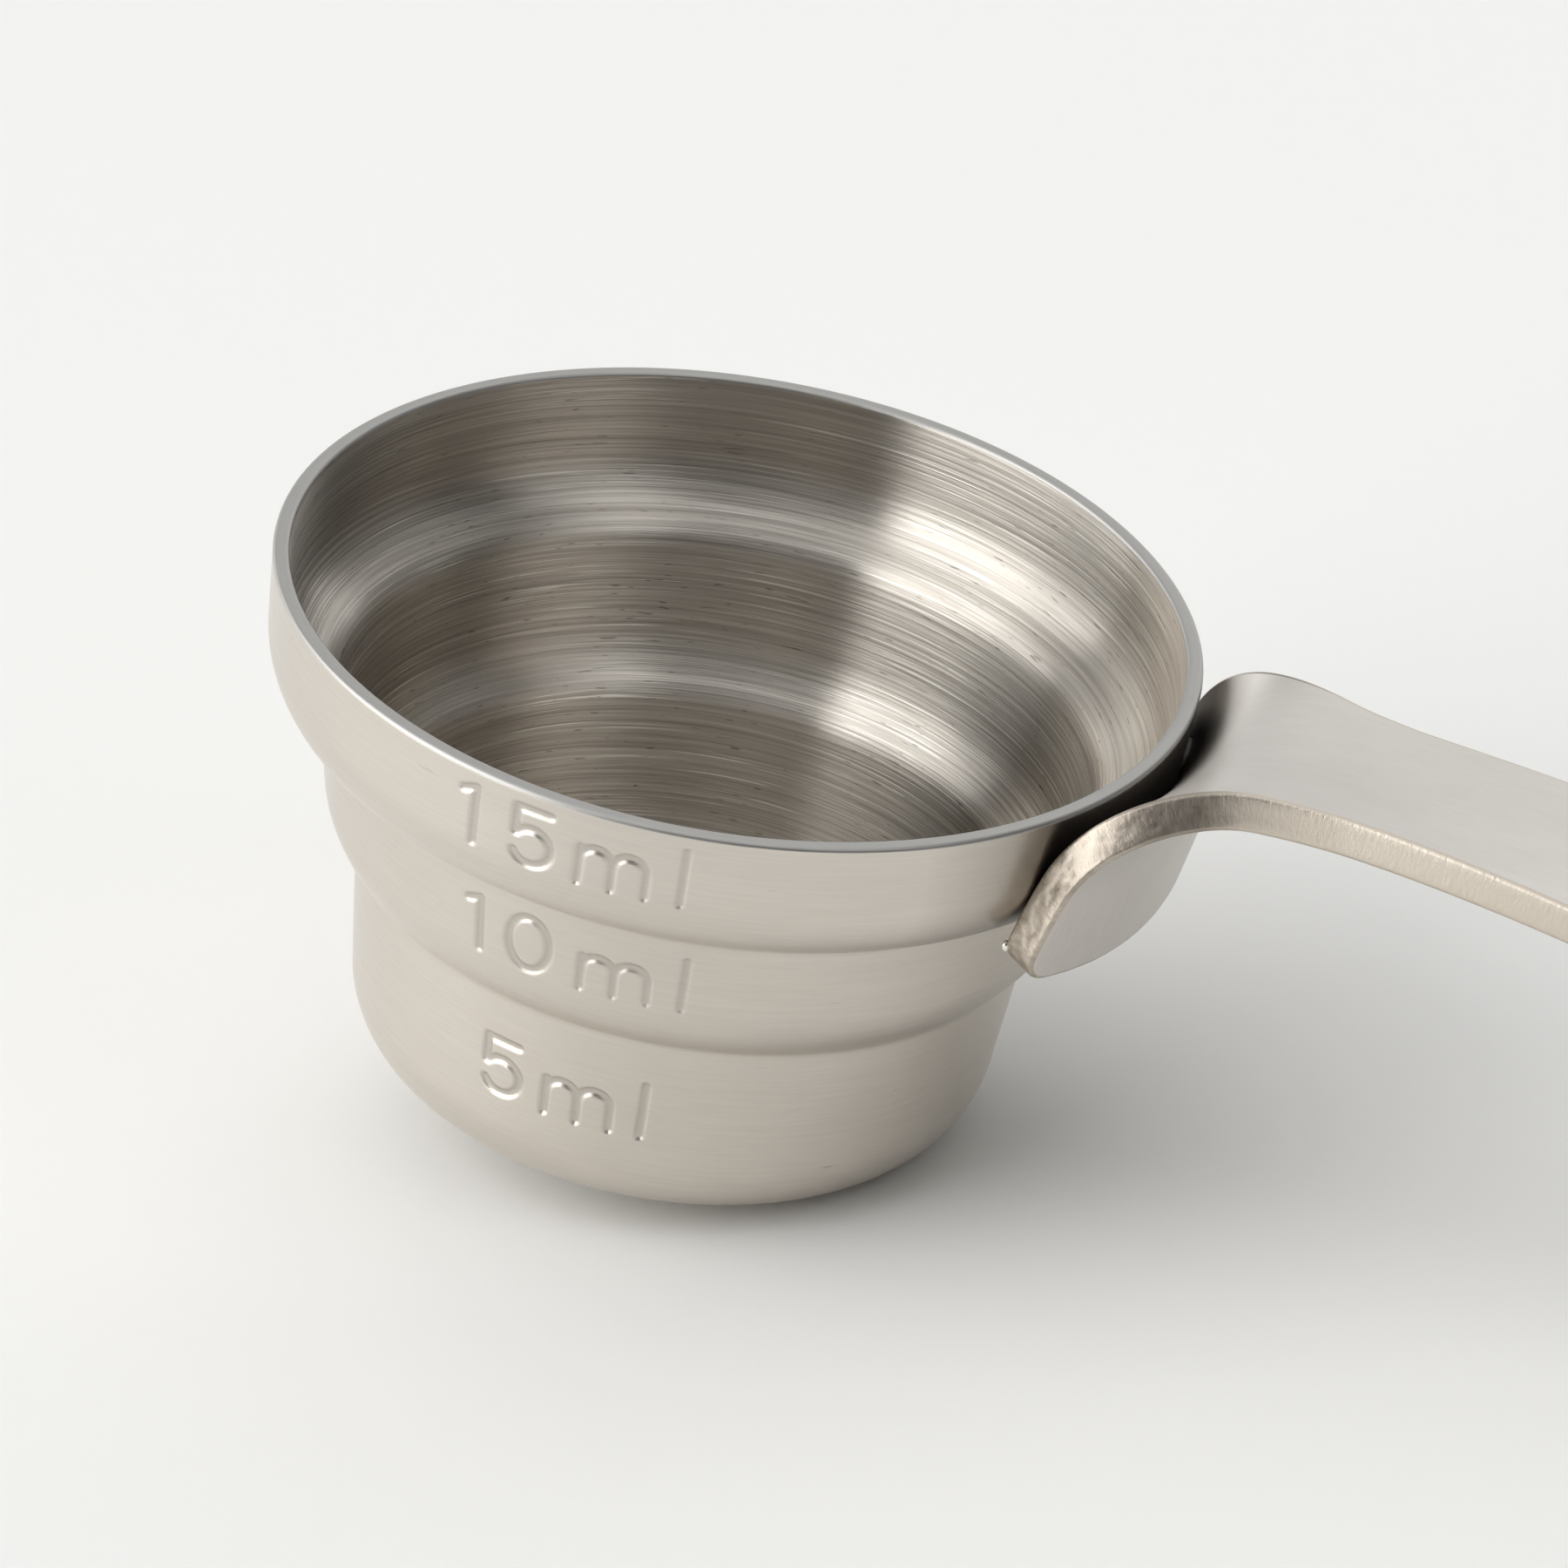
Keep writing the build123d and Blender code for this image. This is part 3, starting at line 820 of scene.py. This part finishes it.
def inside_material():
    """Stainless steel as spun: coarse scratches round the inside, some bright, with short pits between them."""
    finish = bpy.context.scene.spoon_finish
    rows = [
        ("spin", "Attribute", {"attribute_name": "spin"}, {}),
        # Tool lines 0.2 mm apart and some 15 mm long, a little coarser than real to show
        ("coarse_at", "VectorMath", {**TIMES, 1: (1.1, 1.1, 6.0)}, {0: ("spin", 1)}),
        ("coarse", "TexNoise", {**NOISE, "Detail": 3.0, "Roughness": 0.6}, {"Vector": "coarse_at"}),
        # Finer lines between them, 0.07 mm apart and some 8 mm long
        ("fine_at", "VectorMath", {**TIMES, 1: (2.2, 2.2, 15.0)}, {0: ("spin", 1)}),
        ("fine", "TexNoise", {**NOISE, "W": 2.0, "Detail": 2.0, "Roughness": 0.6}, {"Vector": "fine_at"}),
        # Thin bright scratches, gathered in patches 8 mm long and 3 mm wide
        ("patch_at", "VectorMath", {**TIMES, 1: (2.0, 2.0, 0.35)}, {0: ("spin", 1)}),
        ("patch", "TexNoise", {**NOISE, "W": 5.0, "Detail": 1.0, "Roughness": 0.5}, {"Vector": "patch_at"}),
        ("thin_at", "VectorMath", {**TIMES, 1: (2.2, 2.2, 12.0)}, {0: ("spin", 1)}),
        ("thin", "TexNoise", {**NOISE, "W": 7.0, "Detail": 1.0, "Roughness": 0.5}, {"Vector": "thin_at"}),
        # Dark pits 1 mm long and 0.1 mm wide
        ("pits_at", "VectorMath", {**TIMES, 1: (16.0, 16.0, 8.0)}, {0: ("spin", 1)}),
        ("pits", "TexNoise", {**NOISE, "W": 9.0, "Detail": 1.0, "Roughness": 0.5}, {"Vector": "pits_at"}),
        ("coarse_share", "MapRange", {"From Min": 0.3, "From Max": 0.7}, {"Value": "coarse"}),
        ("patch_share", "MapRange", {"From Min": 0.42, "From Max": 0.6}, {"Value": "patch"}),
        ("thin_share", "MapRange", {"From Min": 0.6, "From Max": 0.66, "To Max": 0.8}, {"Value": "thin"}),
        ("pits_share", "MapRange", {"From Min": 0.68, "From Max": 0.74, "To Max": 0.6}, {"Value": "pits"}),
        ("bright", "Math", TIMES, {0: "patch_share", 1: "thin_share"}),
        ("lined", "Mix", {**COLOURS, 6: linear("A8A29A"), 7: linear(finish.inside)}, {0: "coarse_share"}),
        ("scratched", "Mix", {**COLOURS, 7: linear("FFFCF4")}, {0: "bright", 6: ("lined", 2)}),
        ("tint", "Mix", {**COLOURS, 7: linear("5F5A54")}, {0: "pits_share", 6: ("scratched", 2)}),
        (
            "roughness",
            "MapRange",
            {"From Min": 0.3, "From Max": 0.7, "To Min": 0.28, "To Max": 0.37},
            {"Value": "fine"},
        ),
        ("waves", "Bump", {"Distance": 0.04 * MM}, {"Height": "coarse"}),
        ("relief", "Bump", {"Distance": 0.015 * MM}, {"Height": "fine", "Normal": "waves"}),
        ("tangent", "Tangent", {"direction_type": "UV_MAP", "uv_map": "turned"}, {}),
        (
            "metal",
            "BsdfPrincipled",
            {"Metallic": 1.0, "Anisotropic": 1.0, "Anisotropic Rotation": 0.25},
            {"Base Color": ("tint", 2), "Roughness": "roughness", "Normal": "relief", "Tangent": "tangent"},
        ),
    ]
    return new_material("spun_stainless_inside", rows)


def strap_material():
    """Stainless strip with a satin rolled face: even, with faint clouds and lines along the strap."""
    rows = [
        ("sheet", "Attribute", {"attribute_name": "sheet"}, {}),
        # Roll lines about 0.2 mm apart and a few millimetres long over soft clouds 4 mm long
        ("lines_at", "VectorMath", {**TIMES, 1: (0.35, 5.0, 5.0)}, {0: ("sheet", 1)}),
        ("lines", "TexNoise", {**NOISE, "Detail": 4.0, "Roughness": 0.65}, {"Vector": "lines_at"}),
        ("cloud_at", "VectorMath", {**TIMES, 1: (0.25, 0.35, 0.35)}, {0: ("sheet", 1)}),
        ("cloud", "TexNoise", {**NOISE, "W": 3.0, "Detail": 2.0, "Roughness": 0.5}, {"Vector": "cloud_at"}),
        ("lines_share", "MapRange", {"From Min": 0.3, "From Max": 0.7, "To Max": 0.12}, {"Value": "lines"}),
        ("clouded", "Mix", {**COLOURS, 6: linear("CEC9C3"), 7: linear("DCD8D2")}, {0: "cloud"}),
        ("lined", "Mix", {**COLOURS, 7: linear("AAA5A0")}, {0: "lines_share", 6: ("clouded", 2)}),
        # Painted shade on the upper face over the first few millimetres, where the strap bends away from the cup:
        # darkened as the reflection of the shaded gap beside the cup
        ("place", "SeparateXYZ", {}, {0: ("sheet", 1)}),
        ("near_cup", "MapRange", {"From Min": 4.0, "From Max": 1.8, "To Max": 0.9}, {"Value": "place"}),
        ("near_face", "MapRange", {"From Min": 1.2, "From Max": 0.4}, {"Value": ("place", 2)}),
        ("painted_shade_share", "Math", TIMES, {0: "near_cup", 1: "near_face"}),
        ("tint", "Mix", {**COLOURS, 7: linear("4F4945")}, {0: "painted_shade_share", 6: ("lined", 2)}),
        (
            "roughness",
            "MapRange",
            {"From Min": 0.25, "From Max": 0.75, "To Min": 0.32, "To Max": 0.38},
            {"Value": "lines"},
        ),
        ("relief", "Bump", {"Distance": 0.006 * MM}, {"Height": "lines"}),
        ("tangent", "Tangent", {"direction_type": "UV_MAP", "uv_map": "flat"}, {}),
        (
            "metal",
            "BsdfPrincipled",
            {"Metallic": 1.0, "Anisotropic": 0.3, "Anisotropic Rotation": 0.25},
            {"Base Color": ("tint", 2), "Roughness": "roughness", "Normal": "relief", "Tangent": "tangent"},
        ),
    ]
    return new_material("satin_stainless_strap", rows)


def edge_material():
    """Stainless steel ground on its cut edge: paler and rough on the tab, where the grinding left facets and
    sparkling marks across it, and smoother along the strap."""
    ground = linear(bpy.context.scene.spoon_finish.ground)
    rows = [
        ("sheet", "Attribute", {"attribute_name": "sheet"}, {}),
        ("run", "SeparateXYZ", {}, {0: ("sheet", 1)}),
        ("ground", "MapRange", {"From Min": 9.0, "From Max": 2.0}, {"Value": "run"}),
        # Facets 0.7 mm wide, and grinding marks 0.2 mm wide that run across the edge
        ("facets_at", "VectorMath", {**TIMES, 1: (1.4, 1.0, 1.6)}, {0: ("sheet", 1)}),
        ("facets", "TexNoise", {**NOISE, "Detail": 1.0, "Roughness": 0.5}, {"Vector": "facets_at"}),
        ("marks_at", "VectorMath", {**TIMES, 1: (6.0, 2.0, 2.0)}, {0: ("sheet", 1)}),
        ("marks", "TexNoise", {**NOISE, "W": 3.0, "Detail": 4.0, "Roughness": 0.7}, {"Vector": "marks_at"}),
        ("marks_share", "MapRange", {"From Min": 0.3, "From Max": 0.7}, {"Value": "marks"}),
        ("facets_share", "MapRange", {"From Min": 0.5, "From Max": 0.68, "To Max": 0.35}, {"Value": "facets"}),
        ("marked", "Mix", {**COLOURS, 6: linear("ACA295"), 7: ground}, {0: "marks_share"}),
        ("faceted", "Mix", {**COLOURS, 7: linear("857B70")}, {0: "facets_share", 6: ("marked", 2)}),
        ("faded", "Mix", {**COLOURS, 6: ground}, {0: "ground", 7: ("faceted", 2)}),
        # A darker patch, some 4 mm long, over the bend
        ("patch_start", "MapRange", {"From Min": 2.6, "From Max": 4.2, "To Max": 0.55}, {"Value": "run"}),
        ("patch_end", "MapRange", {"From Min": 7.6, "From Max": 6.0}, {"Value": "run"}),
        ("patch", "Math", TIMES, {0: "patch_start", 1: "patch_end"}),
        ("tint", "Mix", {**COLOURS, 7: linear("6F665E")}, {0: "patch", 6: ("faded", 2)}),
        (
            "roughness",
            "MapRange",
            {"From Min": 0.3, "From Max": 0.7, "To Min": 0.38, "To Max": 0.5},
            {"Value": "marks"},
        ),
        ("facets_height", "Math", TIMES, {0: "facets", 1: "ground"}),
        ("waves", "Bump", {"Distance": 0.09 * MM}, {"Height": "facets_height"}),
        ("relief", "Bump", {"Distance": 0.03 * MM}, {"Height": "marks", "Normal": "waves"}),
        (
            "metal",
            "BsdfPrincipled",
            {"Metallic": 1.0},
            {"Base Color": ("tint", 2), "Roughness": "roughness", "Normal": "relief"},
        ),
    ]
    return new_material("ground_stainless_edge", rows)


def weld_material(name, hex_code, smooth, rough):
    """Weld metal that cooled from a melt, with a colour as a hex code and roughness between two values: on the bead
    it is bright and nearly smooth, coloured near white as a painted glint, and on the spot welds, where heat left
    its oxide, it is dark and dull, which is also painted shade in the gap between the rim and the strap."""
    rows = [
        ("place", "TexCoord", {}, {}),
        # Ripples 0.3 mm apart
        ("ripples", "TexNoise", {"Scale": 3000.0}, {"Vector": ("place", "Object")}),
        (
            "roughness",
            "MapRange",
            {"From Min": 0.2, "From Max": 0.8, "To Min": smooth, "To Max": rough},
            {"Value": "ripples"},
        ),
        ("metal", "BsdfPrincipled", {"Metallic": 1.0, "Base Color": linear(hex_code)}, {"Roughness": "roughness"}),
    ]
    return new_material(name, rows)


def floor_material():
    """Matt pale card sweep with a faint tooth, 1 mm apart."""
    card = bpy.context.scene.spoon_finish.floor
    rows = [
        ("place", "TexCoord", {}, {}),
        ("tooth", "TexNoise", {"Scale": 900.0, "Detail": 3.0}, {"Vector": ("place", "Object")}),
        ("relief", "Bump", {"Strength": 0.1, "Distance": 0.2 * MM}, {"Height": "tooth"}),
        (
            "card",
            "BsdfPrincipled",
            {"Base Color": linear(card), "Roughness": 0.9, "Specular IOR Level": 0.2},
            {"Normal": "relief"},
        ),
    ]
    return new_material("matt_pale_card", rows)


# ---- studio


def add_softbox(name, place, aim, width, height, power, tint):
    """A rectangular softbox at a place, turned towards the point that it aims at."""
    light = bpy.data.lights.new(name, "AREA")
    light.shape = "RECTANGLE"
    light.size, light.size_y = width, height
    light.energy = power
    light.color = tint
    made = bpy.data.objects.new(name, light)
    made.location = place
    made.rotation_euler = (Vector(aim) - Vector(place)).to_track_quat("-Z", "Y").to_euler()
    bpy.context.scene.collection.objects.link(made)


# The camera as fitted to the rim, the creases and the strap: how far it looks down and how far the strap swings
# towards it, in degrees, and its place in rim radii right, up and forward of the rim's centre
CAMERA_FALL = 27.06
CAMERA_SWING = 23.6
CAMERA_PLACE = np.array([0.0936, -0.3899, -25.9147])

# The room as the spoon sees it, with azimuths counted from the picture's right and the camera at 270 degrees:
# where each sector begins, and its radiance below and above 30 degrees. A window is on the left, pale walls are
# behind and in front on the right, and dim gaps are between them
ROOM_SECTORS = (
    (0, 0.18, 0.5),
    (40, 1.2, 1.0),
    (75, 0.8, 0.9),
    (120, 1.5, 0.3),
    (160, 3.5, 2.0),
    (190, 3.6, 2.3),
    (214, 3.2, 2.7),
    (233, 0.0, 0.3),
    (265, 0.0, 0.25),
    (303, 0.06, 1.2),
    (343, 0.0, 0.02),
)
ROOM_TOP = 1.03

# Degrees on each side of a sector's edge over which its level goes over to the next
SECTOR_BLUR = 1.5

# Elevations between which the lower level goes over to the upper one, and that to the ceiling's
UPPER_RISE = (27, 33)
TOP_RISE = (57, 63)

# Half of the floor's side, in metres
FLOOR_HALF = 1.5


def toward(azimuth, elevation):
    """Unit vector towards an azimuth, counted from the picture's right, and an elevation, both in degrees."""
    turn, rise = radians(azimuth + CAMERA_SWING), radians(elevation)
    return Vector((np.cos(turn) * np.cos(rise), np.sin(turn) * np.cos(rise), np.sin(rise)))


def light_room(scene):
    """A dim room of upright sectors with 3 degrees of blur between them, a pale ceiling and one window lamp."""
    world = bpy.data.worlds.new("studio_room")
    scene.world = world
    world.use_nodes = True
    tree = world.node_tree
    tree.nodes.clear()
    place = add_node(tree, "TexCoord")
    x, y, z = add_node(tree, "SeparateXYZ", {}, {0: place.outputs["Generated"]}).outputs
    azimuth = add_node(tree, "Math", {"operation": "ARCTAN2"}, {0: y, 1: x}).outputs[0]
    around = add_node(tree, "MapRange", {"From Min": -np.pi, "From Max": np.pi}, {"Value": azimuth})
    ramp = add_node(tree, "ValToRGB", {}, {0: around.outputs[0]})
    # The ramp holds both radiances, as shares of the brightest: the lower in red and the upper in green
    starts, lower, upper = np.array(ROOM_SECTORS).T
    brightest = max(lower.max(), upper.max())
    turns = np.sort(np.concatenate([starts + SECTOR_BLUR, np.roll(starts, -1) - SECTOR_BLUR]) % 360)
    sector = np.searchsorted(starts, turns, side="right") - 1
    at = np.concatenate([[0], np.sort((turns + CAMERA_SWING + 180) % 360 / 360), [1]])
    back = (at * 360 - 180 - CAMERA_SWING) % 360
    low, high = (np.interp(back, turns, level[sector], period=360) / brightest for level in (lower, upper))
    elements = ramp.color_ramp.elements
    for place_on_ramp in at[1:-1].tolist():
        elements.new(place_on_ramp)
    for element, share_low, share_high in zip(elements, low.tolist(), high.tolist()):
        element.color = (share_low, share_high, 0, 1)
    low, high, _ = add_node(tree, "SeparateColor", {}, {0: ramp.outputs[0]}).outputs
    raised, overhead = (
        add_node(
            tree,
            "MapRange",
            {"From Min": np.sin(radians(low_rise)), "From Max": np.sin(radians(high_rise))},
            {"Value": z},
        ).outputs[0]
        for low_rise, high_rise in (UPPER_RISE, TOP_RISE)
    )
    walls = add_node(tree, "Mix", {}, {0: raised, 2: low, 3: high}).outputs[0]
    walls = add_node(tree, "Math", {"operation": "MULTIPLY", 1: float(brightest)}, {0: walls}).outputs[0]
    total = add_node(tree, "Mix", {3: ROOM_TOP}, {0: overhead, 2: walls}).outputs[0]
    room = add_node(tree, "Background", {"Strength": 1.0}, {"Color": total})
    add_node(tree, "OutputWorld", {}, {"Surface": room.outputs[0]})
    # The window's brightest pane: 0.7 m square, 1 m from the spoon and aimed at its cup
    add_softbox("window_left", toward(208, 36), (-0.03, 0, 0.01), 0.7, 0.7, 0.9, (1.0, 0.985, 0.96))


class SPOON_OT_studio(bpy.types.Operator):
    """Make the pale sweep, the soft light and the camera"""

    bl_idname = "spoon.studio"
    bl_label = "Studio"

    def execute(self, context):
        scene = context.scene
        scene.view_settings.view_transform = "Standard"
        flat = FLOOR_HALF * np.array([[-1, -1, 0], [1, -1, 0], [1, 1, 0], [-1, 1, 0]])
        floor = make_object("studio_floor", flat, [[0, 1, 2, 3]], [floor_material()], smooth=False)

        light_room(scene)

        fall, swing = radians(CAMERA_FALL), radians(CAMERA_SWING)
        right = np.array([np.cos(swing), np.sin(swing), 0])
        ahead = np.array([-np.sin(swing), np.cos(swing), 0])
        look = np.cos(fall) * ahead - np.sin(fall) * np.array([0, 0, 1])
        up = np.sin(fall) * ahead + np.cos(fall) * np.array([0, 0, 1])
        sizes = scene.spoon_cup
        rim = CUP_BASE + CUP_UP * (sizes.base_height + sizes.middle_height + sizes.upper_height)
        place = rim + sizes.rim_radius * (CAMERA_PLACE @ np.stack([right, up, look]))
        data = bpy.data.cameras.new("photo_camera")
        data.sensor_width = 36
        data.lens = 280
        data.clip_start, data.clip_end = 0.01, 10
        camera = bpy.data.objects.new("photo_camera", data)
        turn = Matrix((right, up, -look)).transposed().to_4x4()
        camera.matrix_world = Matrix.Translation(Vector(place)) @ turn
        scene.collection.objects.link(camera)
        scene.camera = camera
        return {"FINISHED"}


class SPOON_PT_panel(bpy.types.Panel):
    """Lists the spoon's pieces, sizes and finishes"""

    bl_idname = "SPOON_PT_panel"
    bl_label = "Stepped measuring spoon"
    bl_space_type = "VIEW_3D"
    bl_region_type = "UI"
    bl_category = "Spoon"

    def draw(self, context):
        for operator in (SPOON_OT_cup, SPOON_OT_strap, SPOON_OT_bead, SPOON_OT_welds, SPOON_OT_studio):
            self.layout.operator(operator.bl_idname)
        for group in (context.scene.spoon_cup, context.scene.spoon_strap, context.scene.spoon_finish):
            box = self.layout.box()
            for name in group.bl_rna.properties.keys():
                if name not in ("rna_type", "name"):
                    box.prop(group, name)


CLASSES = (
    SpoonCupSizes,
    SpoonStrapSizes,
    SpoonFinish,
    SPOON_OT_cup,
    SPOON_OT_strap,
    SPOON_OT_bead,
    SPOON_OT_welds,
    SPOON_OT_studio,
    SPOON_PT_panel,
)


def register():
    for item in CLASSES:
        bpy.utils.register_class(item)
    bpy.types.Scene.spoon_cup = bpy.props.PointerProperty(type=SpoonCupSizes)
    bpy.types.Scene.spoon_strap = bpy.props.PointerProperty(type=SpoonStrapSizes)
    bpy.types.Scene.spoon_finish = bpy.props.PointerProperty(type=SpoonFinish)


def unregister():
    del bpy.types.Scene.spoon_finish
    del bpy.types.Scene.spoon_strap
    del bpy.types.Scene.spoon_cup
    for item in reversed(CLASSES):
        bpy.utils.unregister_class(item)


def main():
    register()
    bpy.ops.spoon.studio()
    bpy.ops.spoon.cup()
    bpy.ops.spoon.strap()
    bpy.ops.spoon.bead()
    bpy.ops.spoon.welds()


if __name__ == "__main__":
    main()
